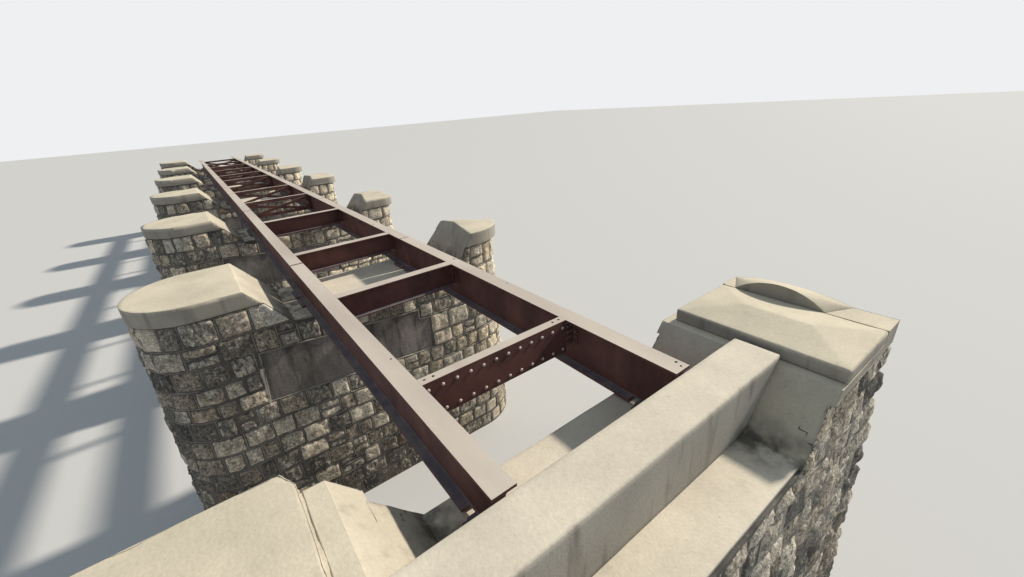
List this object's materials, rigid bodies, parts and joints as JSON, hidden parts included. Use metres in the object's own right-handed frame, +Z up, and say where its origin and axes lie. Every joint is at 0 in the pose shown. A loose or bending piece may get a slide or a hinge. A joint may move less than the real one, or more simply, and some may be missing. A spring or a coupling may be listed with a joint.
{
  "type": "pipe bridge",
  "caption": "Narrow girder bridge on round-nosed masonry piers with sloped concrete caps, cross-braced with beams and open frames, for carrying a pipe over water.",
  "frame": {"origin": "centre of the overall box at the feet of the piers", "axes": "+X forward along the bridge, away from the first pier; +Y left across it; +Z up"},
  "size_m": [29.76, 5.43, 3.58],
  "materials": {
    "masonry": "rough squared rubble with raised pale joints",
    "concrete": "worn pale concrete",
    "rusted_steel": "rusted dark red-brown, dusty tops"
  },
  "bodies": {
    "root": {"pier_0": "masonry", "pier_1": "masonry", "pier_2": "masonry", "pier_3": "masonry", "pier_4": "masonry", "pier_5": "masonry", "pier_6": "masonry", "caps_0": "concrete", "caps_1": "concrete", "caps_2": "concrete", "caps_3": "concrete", "caps_4": "concrete", "caps_5": "concrete", "caps_6": "concrete", "girder_left_0": "rusted_steel", "girder_left_1": "rusted_steel", "girder_left_2": "rusted_steel", "girder_left_3": "rusted_steel", "girder_left_4": "rusted_steel", "girder_left_5": "rusted_steel", "girder_right_0": "rusted_steel", "girder_right_1": "rusted_steel", "girder_right_2": "rusted_steel", "girder_right_3": "rusted_steel", "girder_right_4": "rusted_steel", "girder_right_5": "rusted_steel", "cross_channel": "rusted_steel", "cross_beam_1": "rusted_steel", "cross_beam_2": "rusted_steel", "cross_beam_3": "rusted_steel", "cross_frame_4": "rusted_steel", "cross_frame_5": "rusted_steel", "cross_frame_6": "rusted_steel", "cross_frame_7": "rusted_steel", "cross_frame_8": "rusted_steel", "cross_frame_9": "rusted_steel", "cross_frame_10": "rusted_steel", "cross_frame_11": "rusted_steel", "bridge_seats": "concrete", "bearing_plates": "rusted_steel", "infill_panels": "concrete", "back_wall": "concrete", "edge_slab": "concrete"}
  },
  "joints": []
}
